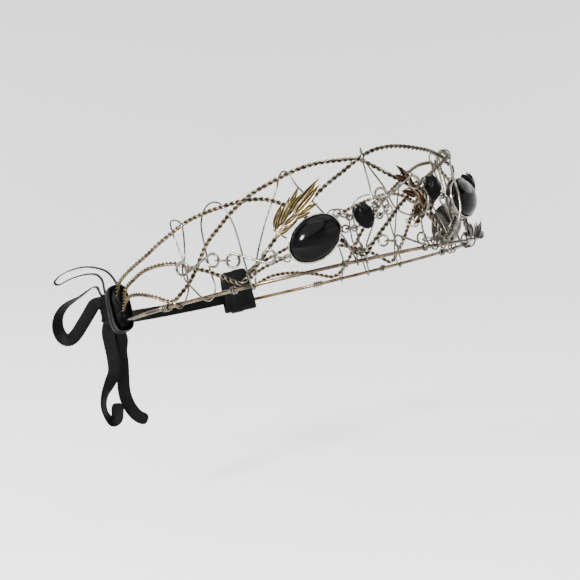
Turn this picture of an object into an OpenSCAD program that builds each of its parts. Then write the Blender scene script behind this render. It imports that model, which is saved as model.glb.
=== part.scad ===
// Wirework circlet: a plain base wire that carries three twisted wires in waves, a thin silver
// lacing wire, a chain of S-links, onyx cabochons and rose beads, leaf sprays and a black
// ribbon tied at the back. Angles run from the front centre towards the wearer's right.

/* [Ring] */
// Depth of the base ring, front to back
ring_depth = 188; // [184:2:192]
// Width of the base ring, side to side
ring_width = 162; // [158:2:166]
// Lift of the front above the back as worn, in degrees
worn_tilt = 15; // [0:1:16]
// Inward lean of the wirework for each millimetre of height
band_lean = 0.05; // [0:0.01:0.06]

/* [Wires] */
// Thickness of the plain base wire
base_wire_d = 1.8; // [1.5:0.1:1.9]
// Thickness over both strands of a twisted wire
twisted_wire_d = 2.2; // [1.8:0.1:2.2]
// Thickness of the thin silver lacing wire
lacing_wire_d = 0.8; // [0.6:0.1:0.9]

/* [Chain] */
// Thickness of the wire in the S-links
link_wire_d = 1.1; // [0.9:0.1:1.2]
// Radius of an S-link's eye, at the wire's centre
link_eye_r = 3; // [2.9:0.1:3.1]
// Thickness of the wire in the jump rings
ring_wire_d = 0.9; // [0.7:0.1:0.9]

/* [Stones] */
// Length of a black oval cabochon
stone_length = 25; // [24:0.5:25]
// Width of a black oval cabochon
stone_width = 18; // [16:0.5:18]
// Height of a cabochon's dome above its girdle
stone_rise = 4.6; // [3.5:0.1:5]
// Wall of the silver bezel round a stone
bezel_wall = 0.8; // [0.6:0.1:0.8]
// Height of the bezel
bezel_height = 3; // [2.6:0.1:3.2]
// Width of a carved rose bead
bead_width = 9; // [8:0.5:9]
// Height of a carved rose bead
bead_height = 11.5; // [10:0.5:12]

/* [Leaves and ribbon] */
// Thickness of a cast leaf at its midrib
leaf_thickness = 1; // [0.8:0.1:1.2]
// Width of the satin ribbon
ribbon_width = 6.5; // [5:0.5:7]
// Thickness of the satin ribbon
ribbon_thickness = 1; // [0.8:0.1:1.2]

/* [Hidden] */

right = 1;
left = -1;
gap = 0.2;
base_wire_r = base_wire_d / 2;
twisted_wire_r = twisted_wire_d / 2;
lacing_wire_r = lacing_wire_d / 2;

// Where two twisted wires cross, each stands this far to its own side of the band
layer_out = twisted_wire_r + gap;
// The lacing passes this far in front of or behind the band
lacing_out = layer_out + twisted_wire_r + lacing_wire_r + gap;
// The lacing turns round the base wire at this distance
hook_out = base_wire_r + lacing_wire_r + 2.5 * gap;
// A trough of a twisted wire rests on the base wire at this height
trough = base_wire_r + twisted_wire_r + gap;
// The chain, the stones' backs and the leaves stand this far outside the band
leaf_out = lacing_out + lacing_wire_r + gap;
chain_out = leaf_out + 2.6;
bezel_out = chain_out - 0.9;
bezel_floor = 0.8;
wire_end = 137;
// The turns of ribbon round the wires' ends, and half the width and height of their inside
wrap_angle = 137.2;
wrap_height = 6.6;
wrap_length = 15;
wrap_inside = [4.2, 10.6];
// The braid was begun here, a little to the wearer's left of the front stone
braid_middle = -13;

// Waves of the twisted wires on the right. Columns: angle, height, layer (1 outside, -1 inside)
low_wave = [[134.5, 3.5, 0], [129.5, 7.5, 0], [123.5, 10.5, 0], [115.5, 9.5, 0], [108, 6, 0],
    [102, trough, 0], [98, 4.5, 0], [94, 9.5, -1], [90, 16.5, -1], [85.5, 24, 0], [81, 29, 0.5],
    [76, 34.5, 1], [69.5, 40, 1], [63, 43.2, 0.5], [56, 46, 0], [49, 47.2, -0.5],
    [41.5, 46.6, -1], [35.5, 45.4, -1], [31, 41.4, -0.5], [26.5, 36, 0.5], [21.5, 31, 1],
    [15.5, 26.5, 1], [12.5, 20, 0.5], [12.5, 14, 0], [10.5, 7.5, 0], [8, trough, 0],
    [4.5, 5, 0], [-1, 10, 0], [-7, 13.5, 0]];
back_wave = [[135.5, 7.5, 1], [133.5, 12.5, 1], [129.5, 17.5, 1], [123.5, 20.5, 1],
    [116.5, 23.5, 0.5], [109.5, 26.5, 0], [102, 30.5, 0], [96, 33.5, 0], [91, 36, 0],
    [85, 37.5, 0], [78.5, 38.3, -0.5], [72.5, 38.5, -1], [66.5, 37, -1], [61.5, 33, 0],
    [57.5, 27.5, 1], [52, 19, 1], [47, 11, 0.5], [44, 5, 0], [41, trough, 0], [38, 6, 0],
    [34, 11, 0], [29.5, 16, 0], [24, 21.5, -1], [17.5, 26.5, -1], [12, 30.5, -0.5],
    [6.5, 33.8, 0], [-0.5, 37.5, 0.6]];
top_wave = [[134.5, 6.5, -1], [131.5, 11.5, -1], [126.5, 15.5, -1], [119.5, 18, -1],
    [111.5, 20, 0], [104, 20.2, 0], [97, 18.5, 0.5], [92, 15, 1], [87, 11.5, 1], [82.5, 7, 0.5],
    [78, trough, 0], [75, 5, 0], [70.5, 10.5, 0], [66.5, 16.5, 0], [62, 22.5, -0.5],
    [57, 28, -1], [52, 32.5, -1], [47, 37, -0.5], [40.5, 41.8, 0.5], [35.5, 45.6, 1],
    [30, 48, 1], [23.5, 48.6, 0.5], [17, 47.8, 0], [10, 46.2, 0], [3, 44.6, 0]];
// Where two of the wires cross at the braid's middle. Columns: angle, height
crest = [[-7, 40.4], [braid_middle, 42], [-5, 43.2]];
low_crest_height = 14.5;

// Route of the lacing on the right. Columns: angle, height, side of the band (1 in front)
lacing = [[100, 2.6, 0.66], [99.5, -0.4, 0.66], [99, -hook_out, 0], [98.3, 0.2, -0.66],
    [97, 3.6, -1], [95.8, 9.6, -1], [96.6, 22, -1], [97.8, 30, -1], [98.2, 35.4, -0.9],
    [96.4, 38.4, 0], [93, 37.4, 0.8], [91.4, 34.4, 1], [91.6, 28, 1], [92.3, 20, 1.2],
    [92.4, 15, 2.2], [91.8, 10, 2.6], [90.6, 4, 1.6], [89.4, -0.6, 0.66],
    [88.2, -hook_out, 0], [87.2, 0.5, -0.66], [86.8, 4.6, -1], [87.4, 12, -1], [87.6, 24, -1],
    [87.4, 33, -1], [85.4, 39, -0.9], [82, 41.2, 0], [78.8, 40, 0.8], [77.2, 36.2, 1],
    [75.6, 28, 1], [75, 16, 1], [74.6, 6, 0.9], [74.4, 0.4, 0.66], [74.2, -hook_out, 0],
    [74, 0.6, -0.66], [73.4, 6, -1], [71.6, 14, -1], [67.6, 26.4, -1], [64.6, 34, -1],
    [61.8, 41, -1], [60.6, 45, -0.9], [59, 46.9, 0], [57.4, 45, 0.8], [56, 39, 1],
    [52.6, 30.4, 1], [49, 20.4, 1], [46, 10.2, 1], [44.4, 1.4, 0.75],
    [44.1, -0.6, 0.6], [43.7, -hook_out, 0], [43.3, -0.6, -0.6], [43, 2, -0.9], [42.2, 6, 0],
    [41.4, 2, 0.9], [41, -0.5, 0.62], [40.6, -hook_out, 0], [40.2, -0.5, -0.62],
    [40, 1.8, -0.8], [39.2, 6, -1], [37.6, 11, -0.2], [36.2, 17, 1], [35, 28, 1],
    [35, 40, 1], [35, 45.4, 1.05], [34.6, 48.2, 0.9], [34, 50, 0.1], [33.2, 48.8, -0.8], [32.4, 45, -1],
    [31, 40, -1], [27.8, 31, -1], [26, 22, -1]];
// On the right it ends in an open loop round a bead, on the left under the base wire
bead_loop = [[23.4, 17.4, -0.6], [20.6, 15, 0.6], [18.4, 15.6, 1.4], [16.8, 19, 1.8],
    [16.2, 23.2, 1.9], [16.6, 26.6, 1.7]];
plain_end = [[25, 12, -1], [24.4, 4, -1], [24, 0, -0.6], [23.6, -hook_out, 0], [23, 0.4, 0.6]];

// Route of the bright wire over the front stone. Columns: angle, height, distance outside
front_route = [[15.5, 14, -3.4], [16, 6, -3.4], [15.6, 0.5, -2.2], [15, -2, 0],
    [14.2, 1, 2.2], [12.9, 5, 2], [12, 5, -0.8], [11.4, 1.2, -2.4], [10.8, -2, 0],
    [10.8, 1.5, 3.6], [10.4, 4.5, 7.6], [9.6, 9, 11], [8.8, 14, 12.6], [8.2, 20, 13],
    [7, 26, 11.8], [4, 31.5, 9], [-0.5, 37, 6.2], [-6.5, 41.4, 4.2], [-9.6, 44.4, 2.6],
    [-11, 45.4, 0.2], [-10.6, 43.8, -2.6], [-8.6, 40, -3.6], [-6.6, 32, -3.4],
    [-5.4, 22, -3.4], [-5.2, 12, -3.4], [-5.3, 3, -2.6], [-5.7, -0.6, -1.8], [-6, -2, 0],
    [-6.4, 0.6, 1.9], [-6.6, 3, 2]];

// Places of the stones. Columns: angle, height, turn from level
side_stone = [54.4, 13.7, 27];
front_stone = [0, 19.6, 0];
// Loops soldered to the bezels. Columns: distance forward and up in the bezel's own frame
side_loops = [[-15.1, 1.2], [14.8, 2.4], [13.2, -5.4]];
front_loops = [[-14.7, -2.6], [14.7, -2.6]];
loop_r = 1.6;

// Rose beads. Columns: angle, height, tilt of the bead, turn of its pins from the bead,
// distances of the pins from the bead's middle, share of the full width
side_bead = [39.6, 18.6, 14, 0, [-2.7, 2.7], 1];
brow_bead = [13.6, 25.9, -6, -32, [0], 0.85];
pin_r = 0.4;
pin_eye_r = 1.3;
pin_reach = 6.6;

// Eyes of the S-links. Columns: rear eye's angle and height, front eye's angle and height,
// side on which the bar leaves the rear eye (-1 below, 1 above)
back_link = [92.5, 15, 82.8, 15, -1];
side_link = [77.1, 12.6, 67.4, 10.6, 1];
brow_link = [33.2, 26.8, 21.2, 29.8, -1];

// Jump ring that lies flat after the side bead. Columns: angle, height, radius
lower_ring = [32, 19.6, 2.1];
// A jump ring seen edge-on reaches this far past the rims of the two that it joins
ring_reach = (ring_wire_d + link_wire_d) / 2 + gap + 0.1;

// Coils of thin wire round the base wire. Columns: first angle, number of turns
binding_coils = [[106, 4], [80.8, 2], [48, 2], [20, 2]];
coil_pitch = 0.8;

// Leaves of the sprays. Columns: distance forward and up from the spray's root to the
// leaf's root, direction, length, width
side_leaves = [[-1, 4, 61, 11.5, 2.4], [-0.6, 2.8, 57, 11, 2.4], [0.6, 3.6, 55, 15.5, 2.4],
    [2.2, 4.2, 52, 14, 2.4], [4.6, 6.8, 53, 16, 2.6], [5.8, 7.8, 44, 13, 2.4],
    [8.6, 9, 38, 19.5, 3.2], [9.8, 8, 35, 17, 2.8], [9.4, 8.2, 24, 11, 2.2],
    [10.2, 7.4, 17, 11, 2.4], [8, 6, 8, 9, 2.4], [4, 4.2, 24, 8.5, 2.2],
    [1.6, 1.8, 19, 9.5, 2.6], [0.2, 0.8, 16, 7, 2.2]];
brow_leaves = [[0, 3, 124, 11, 3.2], [-2, 6, 132, 13, 3.4], [-4, 9, 112, 11, 3.2],
    [-5, 10, 142, 10, 3], [-2.4, 6, 108, 9, 3], [-3, 5, 160, 9, 2.8], [-6, 13, 124, 9, 3]];
front_leaves = [[-8, 1, 158, 8, 3], [-6, 2, 132, 10, 3.4], [-3, 1, 112, 8, 3.4],
    [0, 1, 92, 7, 3.6], [3, 1, 70, 8, 3.4], [6, 2, 50, 10, 3.4], [8, 1, 22, 8, 3],
    [-3, 1, 146, 11, 3], [3, 1, 36, 11, 3]];
// Roots of the sprays. Columns: angle, height, outward lean
side_spray = [64, 18.5, 0];
brow_spray_right = [18.2, 18.6, -2];
brow_spray_left = [-29.2, 13, -3];
front_spray = [-5, -0.5, 14];
// Stems of the sprays, from their roots. Columns: distance forward and up of each end
side_stem = [[-0.5, 0.2], [12, 9.6]];
brow_stem = [[0, 0], [-6, 13]];
front_stem = [[-9, 0.6], [9, 0.6]];
// Ties that hold a spray to its wire. Columns: distance forward and up from the root,
// distance outside, radius, direction across the wire
side_tie = [0.4, 0.9, 1.1, 3.4, 130];
brow_tie_right = [-2.7, 5.6, 0.6, 4.2, 118];
brow_tie_left = [-2.7, 5.6, 1.4, 3.4, 175];
front_tie = [0, 0.6, 1.8, 3.4, 90];

// The ribbon is tied behind the right end of the wires, and its routes start from the knot.
// Columns: across, backwards, upwards, turn of the ribbon's width from level
knot_place = [-43.8, 79.8, -14.4];
knot_turn = 30;
loop_upper_route = [[-2, -2, 10.8, 0], [-3, -1.6, 15.4, 0], [-4, 2.4, 20.6, 0],
    [-5, 8, 22.8, 0], [-6, 14.2, 23.2, 0], [-7, 20.8, 21.6, 0], [-7.4, 26, 18.8, 0],
    [-7.2, 28.4, 15.8, 0], [-6.4, 26.4, 14.4, 0], [-5.4, 20.8, 17.2, 0],
    [-4, 14.2, 19.2, 0], [-2.6, 8.4, 19.2, 0], [-1.6, 5.4, 16.2, 0], [-1, 4.4, 11.4, 0]];
loop_lower_route = [[2, 6.6, 8.6, 0], [3, 8.6, 11.8, 0], [4, 11, 12, 0], [5, 13.8, 10.2, 5],
    [6, 17.8, 7.2, 10], [7, 21.8, 4.8, 20], [8, 26, 1.8, 30], [8.6, 29.2, -2.8, 40],
    [8.6, 30, -8.4, 55], [8, 28, -13.6, 70], [7, 24.4, -15.4, 85], [6, 20.6, -13, 90],
    [5, 15.8, -5.8, 90], [4, 12, 0.4, 90], [3.4, 9.8, 3.4, 90]];
tail_outer_route = [[-1, 2.8, -10.6, 90], [-1.4, 1.6, -17, 90], [-1.8, 0.2, -24, 90],
    [-2, -0.2, -30.6, 85], [-2.2, 2, -36.4, 60], [-2.4, 4.6, -42.6, 30],
    [-2.4, 5.2, -48.6, 20], [-2.2, 3.6, -53.4, 20], [-2, 0.8, -56.2, 40],
    [-1.8, -1.4, -54.6, 70], [-1.6, -1.7, -50.4, 85], [-1.6, -1.6, -46.6, 90]];
tail_inner_route = [[1, -3, -10.8, 90], [1.4, -3.8, -14.8, 80], [1.8, -3.6, -20.4, 60],
    [2.4, -4.2, -26.8, 60], [2.8, -4.2, -33.4, 70], [3, -4.4, -39.4, 75],
    [3.2, -5.4, -44.6, 80], [3.4, -8, -50.2, 85], [3.6, -11.8, -54.4, 90],
    [3.6, -16.6, -56.2, 90]];
// Lumps of the knot. Columns: across, backwards, upwards, radius
knot_lumps = [[-1.5, 1, 5, 5], [1.5, 3, 3, 4.6], [-1, -2, -3, 5.2], [1, 2, -5, 4.6]];

function unit(v) = v / norm(v);

// Point and outward direction of the ring at an angle from the front
function ring_point(angle) = [-ring_width / 2 * sin(angle), -ring_depth / 2 * cos(angle)];
function ring_outward(angle) = unit([-sin(angle) / ring_width, -cos(angle) / ring_depth]);
function on_band(row) = let (k = row[2] - band_lean * row[1], p = ring_point(row[0]),
    n = ring_outward(row[0])) [p.x + k * n.x, p.y + k * n.y, row[1]];
function facing(angle) = let (n = ring_outward(angle)) atan2(n.y, n.x) + 90;

// The waves are the same on the left, drawn together towards the middle of the braid
function left_angle(angle) = let (share = (angle - braid_middle) / (wire_end - braid_middle))
    2 * braid_middle * pow(1 - share, 3) - angle;
function layered(rows, factor) = [for (row = rows) [row[0], row[1], row[2] * factor]];
function sided_angle(angle, side) = side == right ? angle : left_angle(angle);
function sided(rows, side) = [for (row = rows) [sided_angle(row[0], side), row[1], row[2]]];
function reversed(rows) = [for (i = [len(rows) - 1:-1:0]) rows[i]];

// Smooth curve through rows, with a number of steps between each pair
function between(a, b, c, d, t) = 0.5 * (2 * b + (c - a) * t + (2 * a - 5 * b + 4 * c - d) * t * t
    + (3 * b - a - 3 * c + d) * t * t * t);
function smooth(rows, steps) = let (last = len(rows) - 1) [for (i = [0:last - 1], s = [0:steps - 1])
    between(rows[max(i - 1, 0)], rows[i], rows[i + 1], rows[min(i + 2, last)], s / steps), rows[last]];
function wire_points(rows, steps) = [for (row = smooth(rows, steps)) on_band(row)];

function tangents(points) = let (last = len(points) - 1)
    [for (i = [0:last]) unit(points[min(i + 1, last)] - points[max(i - 1, 0)])];

// Normals carried along a curve with no more twist than its bends need
function square_to(v, t) = unit(v - (v * t) * t);
function carried(ts, first) = [for (i = 0, n = square_to(first, ts[0]); i < len(ts);
    i = i + 1, n = i < len(ts) ? square_to(n, ts[i]) : n) n];

// Solid through sections that all have the same number of points
module loft(sections) {
    n = len(sections[0]);
    last = len(sections) - 1;
    points = [for (section = sections, p = section) p];
    walls = [for (i = [0:last - 1], j = [0:n - 1]) let (k = (j + 1) % n, a = i * n + j,
        b = (i + 1) * n + j, c = (i + 1) * n + k, d = i * n + k) each [[a, b, c], [a, c, d]]];
    ends = [[for (j = [0:n - 1]) j], [for (j = [n - 1:-1:0]) last * n + j]];
    polyhedron(points, concat(walls, ends), convexity = 6);
}

module tube(points, r, sides, first = [0, 0, 1]) {
    ts = tangents(points);
    ns = carried(ts, first);
    loft([for (i = [0:len(points) - 1]) [for (j = [0:sides - 1]) let (a = 360 * j / sides)
        points[i] + r * (cos(a) * ns[i] + sin(a) * cross(ts[i], ns[i]))]]);
}

// Flat ribbon whose width starts along X and is turned by the route's last column
module ribbon(route) {
    rows = smooth(route, 2);
    points = [for (row = rows) [row[0], row[1], row[2]]];
    ts = tangents(points);
    w = ribbon_width / 2;
    h = ribbon_thickness / 2;
    loft([for (i = [0:len(rows) - 1]) let (x = square_to([1, 0, 0], ts[i]), y = cross(ts[i], x),
        a = rows[i][3], wide = cos(a) * x + sin(a) * y, thick = cross(ts[i], wide))
        [for (c = [[-w, -h], [w, -h], [w, h], [-w, h]]) points[i] + c[0] * wide + c[1] * thick]]);
}

module as_worn() {
    rotate([-worn_tilt, 0, 0]) children();
}

module on_side(side) {
    as_worn() mirror([side == left ? 1 : 0, 0, 0]) children();
}

// Places a piece drawn with X forward, Y up and Z outwards
module at_band(angle, height, out) {
    translate(on_band([angle, height, out])) rotate([90, 0, facing(angle)]) children();
}

module ring(r, wire_d) {
    rotate_extrude($fn = 32) translate([r, 0]) circle(d = wire_d, $fn = 16);
}

module base_wire() {
    color("darkkhaki") as_worn()
        tube([for (i = [-21:21]) on_band([i * wire_end / 21, 0, 0])], base_wire_r, 8);
}

// Twisted wire that rises as the back wave on one side and falls as the top wave on the other,
// and stays on its own side of the band while it crosses the other such wire
module crossing_wire(side) {
    middle = [for (i = [0:2]) [i == 0 ? sided_angle(crest[0][0], side) :
        i == 1 ? braid_middle : sided_angle(crest[2][0], -side), crest[i][1], side * layer_out]];
    rows = concat(sided(layered(back_wave, layer_out), side), middle,
        reversed(sided(layered(top_wave, layer_out), -side)));
    as_worn() tube(wire_points(rows, 2), twisted_wire_r, 6);
}

module twisted_wire_1() {
    color("peru") crossing_wire(right);
}

module twisted_wire_2() {
    color("peru") crossing_wire(left);
}

module twisted_wire_3() {
    rows = concat(sided(layered(low_wave, layer_out), right), [[braid_middle, low_crest_height, 0]],
        reversed(sided(layered(low_wave, layer_out), left)));
    color("peru") as_worn() tube(wire_points(rows, 2), twisted_wire_r, 6);
}

module lacing_wire(side) {
    rows = concat(lacing, side == right ? bead_loop : plain_end);
    color("silver") as_worn()
        tube(wire_points(sided(layered(rows, lacing_out), side), 2), lacing_wire_r, 5);
}

module front_wire() {
    color("silver") as_worn() tube(wire_points(front_route, 2), lacing_wire_r * 1.15, 5);
}

module binding_coils(side) {
    turn_r = base_wire_r + lacing_wire_r + gap;
    color("silver") as_worn() for (coil = binding_coils, i = [0:coil[1] - 1])
        at_band(sided_angle(coil[0], side) - i * coil_pitch, 0, 0) rotate([0, 90, 0])
            ring(turn_r, lacing_wire_d);
}

module oval(length, width, sides = 32) {
    polygon([for (i = [0:sides - 1]) [length / 2 * cos(360 * i / sides),
        width / 2 * sin(360 * i / sides)]]);
}

// Open cup with a back plate, and the loops that the chain hangs from
module bezel(side, place, loops) {
    color("silver") on_side(side) at_band(place[0], place[1], bezel_out) rotate([0, 0, place[2]]) {
        difference() {
            linear_extrude(bezel_height)
                oval(stone_length + 2 * bezel_wall, stone_width + 2 * bezel_wall);
            translate([0, 0, bezel_floor]) linear_extrude(bezel_height)
                oval(stone_length + 0.1, stone_width + 0.1);
        }
        for (loop = loops) translate([loop[0], loop[1], ring_wire_d / 2]) ring(loop_r, ring_wire_d);
    }
}

module stone(side, place) {
    sides = 20;
    // Columns: height above the seat, share of the full outline
    girdle = bezel_height - bezel_floor - 0.2;
    levels = concat([[0.05, 0.97], [girdle, 0.98]],
        [for (a = [20:20:80]) [girdle + stone_rise * sin(a), cos(a)]],
        [[girdle + stone_rise, 0.04]]);
    color("black") on_side(side) at_band(place[0], place[1], bezel_out + bezel_floor)
        rotate([0, 0, place[2]]) loft([for (level = levels) [for (j = [0:sides - 1])
            [stone_length / 2 * level[1] * cos(360 * j / sides),
            stone_width / 2 * level[1] * sin(360 * j / sides), level[0]]]]);
}

// Rosebud seen from its side: a round foot, a full waist and three petals parted at the top
module rose_bead(side, place) {
    sides = 12;
    // Columns: height as a share, radius as a share, depth of the petals
    levels = [[0, 0.16, 0], [0.08, 0.5, 0], [0.25, 0.84, 0.03], [0.5, 1, 0.06], [0.75, 0.94, 0.1],
        [0.92, 0.7, 0.16], [1, 0.3, 0.2]];
    color("black") on_side(side) at_band(place[0], place[1], chain_out) rotate([0, 0, place[2]])
        difference() {
            rotate([-90, 0, 0]) translate([0, 0, -bead_height / 2])
                loft([for (level = levels) [for (j = [0:sides - 1]) let (a = 360 * j / sides,
                    r = place[5] * bead_width / 2 * level[1] * (1 - level[2] * cos(3 * a)))
                    [r * cos(a), r * sin(a), bead_height * level[0]]]]);
            rotate([0, 0, place[3]]) for (shift = place[4]) translate([0, shift, 0])
                rotate([0, 90, 0]) cylinder(r = pin_r + gap, h = 2 * bead_height, center = true);
        }
}

// Straight pin through a bead, with an eye at each end
module bead_pins(place) {
    at_band(place[0], place[1], chain_out) rotate([0, 0, place[2] + place[3]])
        for (shift = place[4]) translate([0, shift, 0]) {
            rotate([0, 90, 0]) cylinder(r = pin_r, h = 2 * (pin_reach - pin_eye_r), center = true);
            for (end = [-1, 1]) translate([end * pin_reach, 0, 0]) ring(pin_eye_r, ring_wire_d);
        }
}

// Two eyes joined by a bar that runs from one side of the rear eye to the other side of the front
module s_link(side, eyes) {
    forward = link_span(eyes).x;
    rise = link_span(eyes).y;
    span = norm([forward, rise]);
    slope = atan2(rise, forward);
    bend = eyes[4];
    lean = asin(2 * link_eye_r / span);
    open = 40;
    // Each eye runs from its open end round to where the bar leaves it
    from = slope + bend * (90 - lean);
    sweep = 360 - open;
    rear = [for (i = [0:10]) let (a = from + bend * sweep * (1 - i / 10)) link_eye_r * [cos(a), sin(a)]];
    front = [for (i = [0:10]) let (a = from + 180 + bend * sweep * i / 10)
        [forward, rise] + link_eye_r * [cos(a), sin(a)]];
    middle = (eyes[0] + eyes[2]) / 2;
    color("silver") on_side(side) at_band(middle, (eyes[1] + eyes[3]) / 2, chain_out)
        translate([-forward / 2, -rise / 2, 0])
        tube([for (p = concat(rear, front)) [p.x, p.y, 0]], link_wire_d / 2, 6);
}

// Middle and radius of each flat ring and eye that the chain joins
function from_band(angle, height, out, turn, x, y) = let (f = facing(angle))
    on_band([angle, height, out]) + (x * cos(turn) - y * sin(turn)) * [cos(f), sin(f), 0]
    + (x * sin(turn) + y * cos(turn)) * [0, 0, 1];
function loop_at(place, loop) = [from_band(place[0], place[1], bezel_out + ring_wire_d / 2,
    place[2], loop[0], loop[1]), loop_r];
function pin_eye_at(bead, shift, end) = [from_band(bead[0], bead[1], chain_out,
    bead[2] + bead[3], end * pin_reach, shift), pin_eye_r];
function ring_at(row) = [on_band([row[0], row[1], chain_out]), row[2]];
function link_span(eyes) = [norm(on_band([eyes[0], 0, chain_out]) - on_band([eyes[2], 0, chain_out])),
    eyes[3] - eyes[1]];
function eye_at(eyes, end) = [from_band((eyes[0] + eyes[2]) / 2, (eyes[1] + eyes[3]) / 2, chain_out,
    0, end * link_span(eyes).x / 2, end * link_span(eyes).y / 2), link_eye_r];

// Jump ring seen edge-on, through two flat rings or eyes
module joining_ring(a, b) {
    along = unit(b[0] - a[0]);
    space = norm(b[0] - a[0]) - a[1] - b[1];
    middle = a[0] + (a[1] + space / 2) * along;
    axis = unit(cross([middle.x, middle.y, 0], along));
    translate(middle) rotate(a = acos(axis.z), v = cross([0, 0, 1], axis))
        ring(space / 2 + ring_reach, ring_wire_d);
}

// Jump rings, and the pins on which the beads are threaded
module chain_rings(side) {
    color("silver") on_side(side) {
        at_band(lower_ring[0], lower_ring[1], chain_out) ring(lower_ring[2], ring_wire_d);
        joining_ring(eye_at(back_link, 1), eye_at(side_link, -1));
        joining_ring(eye_at(side_link, 1), loop_at(side_stone, side_loops[0]));
        joining_ring(loop_at(side_stone, side_loops[1]), pin_eye_at(side_bead, 2.7, -1));
        joining_ring(loop_at(side_stone, side_loops[2]), pin_eye_at(side_bead, -2.7, -1));
        joining_ring(pin_eye_at(side_bead, 2.7, 1), eye_at(brow_link, -1));
        joining_ring(pin_eye_at(side_bead, -2.7, 1), ring_at(lower_ring));
        joining_ring(ring_at(lower_ring), eye_at(brow_link, -1));
        joining_ring(eye_at(brow_link, 1), pin_eye_at(brow_bead, 0, -1));
        joining_ring(pin_eye_at(brow_bead, 0, 1), loop_at(front_stone, front_loops[0]));
        bead_pins(side_bead);
        bead_pins(brow_bead);
    }
}

// A lance-shaped leaf with a raised midrib
module leaf(length, width) {
    hull() {
        linear_extrude(0.3) polygon([[0, 0.3], [0.4 * length, width / 2], [length, 0],
            [0.4 * length, -width / 2], [0, -0.3]]);
        translate([0.1 * length, -0.1, 0]) cube([0.65 * length, 0.2, leaf_thickness]);
    }
}

// Leaves on a straight stem, each laid a little over the one before, tied to a wire
module leaf_spray(root, leaves, stem, tie) {
    at_band(root[0], root[1], leaf_out) {
        rotate([root[2], 0, 0]) {
            for (i = [0:len(leaves) - 1]) let (l = leaves[i])
                translate([l[0], l[1], 0.12 * (i % 4)]) rotate([0, 0, l[2]]) leaf(l[3], l[4]);
            hull() for (end = stem) translate([end[0], end[1], 0])
                cylinder(d = 1.2, h = 0.8, $fn = 8);
        }
        translate([tie[0], tie[1], tie[2] - leaf_out]) rotate([0, 0, tie[4]]) rotate([90, 0, 0])
            rotate_extrude($fn = 12) translate([tie[3], 0]) circle(d = lacing_wire_d, $fn = 6);
    }
}

module side_spray(side) {
    root = [side * sided_angle(side_spray[0], side), side_spray[1], side_spray[2]];
    color("darkgoldenrod") on_side(side) leaf_spray(root, side_leaves, side_stem, side_tie);
}

// Both brow sprays lean the same way round the ring
module brow_spray(root, tie) {
    color("sienna") as_worn() leaf_spray(root, brow_leaves, brow_stem, tie);
}

module leaf_spray_front() {
    color("saddlebrown") as_worn() leaf_spray(front_spray, front_leaves, front_stem, front_tie);
}

// Flattened ring outline of the turns of ribbon
module wrap_outline(x, y) {
    polygon([for (i = [0:19]) let (c = cos(18 * i), s = sin(18 * i))
        [x * sign(c) * pow(abs(c), 0.6), y * sign(s) * pow(abs(s), 0.6)]]);
}

// Turns of ribbon that close round the ends of the wires
module ribbon_wrap(side) {
    color("black") on_side(side) at_band(wrap_angle, wrap_height, 0) rotate([0, 90, 0])
        translate([0, 0, -wrap_length / 2]) linear_extrude(wrap_length) difference() {
            wrap_outline(wrap_inside.x + ribbon_thickness, wrap_inside.y + ribbon_thickness);
            wrap_outline(wrap_inside.x, wrap_inside.y);
        }
}

// Stretch of ribbon round the back, from the knot to the left end of the wires
module ribbon_band() {
    w = ribbon_width / 2;
    color("black") as_worn() loft([for (a = [152.5:3:218.5]) [for (c = [[-w, 0], [w, 0],
        [w, ribbon_thickness], [-w, ribbon_thickness]]) on_band([a, 4 + c[0], 1 + c[1]])]]);
}

module at_knot() {
    translate(knot_place) rotate([0, 0, knot_turn]) children();
}

module ribbon_knot() {
    color("black") at_knot() hull() for (lump = knot_lumps)
        translate([lump[0], lump[1], lump[2]]) sphere(r = lump[3], $fn = 12);
}

module ribbon_piece(route) {
    color("black") at_knot() ribbon(route);
}

base_wire();
twisted_wire_1();
twisted_wire_2();
twisted_wire_3();
lacing_wire(right);  // lacing_wire_right
lacing_wire(left);  // lacing_wire_left
front_wire();
binding_coils(right);  // binding_coils_right
binding_coils(left);  // binding_coils_left
bezel(right, side_stone, side_loops);  // side_bezel_right
bezel(left, side_stone, side_loops);  // side_bezel_left
bezel(right, front_stone, front_loops);  // front_bezel
stone(right, side_stone);  // side_stone_right
stone(left, side_stone);  // side_stone_left
stone(right, front_stone);
rose_bead(right, side_bead);  // rose_bead_side_right
rose_bead(left, side_bead);  // rose_bead_side_left
rose_bead(right, brow_bead);  // rose_bead_brow_right
rose_bead(left, brow_bead);  // rose_bead_brow_left
s_link(right, back_link);  // s_link_back_right
s_link(left, back_link);  // s_link_back_left
s_link(right, side_link);  // s_link_side_right
s_link(left, side_link);  // s_link_side_left
s_link(right, brow_link);  // s_link_brow_right
s_link(left, brow_link);  // s_link_brow_left
chain_rings(right);  // chain_rings_right
chain_rings(left);  // chain_rings_left
side_spray(right);  // leaf_spray_side_right
side_spray(left);  // leaf_spray_side_left
brow_spray(brow_spray_right, brow_tie_right);  // leaf_spray_brow_right
brow_spray(brow_spray_left, brow_tie_left);  // leaf_spray_brow_left
leaf_spray_front();
ribbon_wrap(right);  // ribbon_wrap_right
ribbon_wrap(left);  // ribbon_wrap_left
ribbon_band();
ribbon_knot();
ribbon_piece(loop_upper_route);  // ribbon_loop_upper
ribbon_piece(loop_lower_route);  // ribbon_loop_lower
ribbon_piece(tail_outer_route);  // ribbon_tail_outer
ribbon_piece(tail_inner_route);  // ribbon_tail_inner
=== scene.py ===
# Dresses the wirework circlet: camera, hanging ribbon tails and light first, then the wires, the
# chain, the stones, the leaves and the tied ribbon. Sizes are in millimetres unless noted.
import math
import random

import bpy
import bmesh
from mathutils import Matrix, Vector


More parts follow.
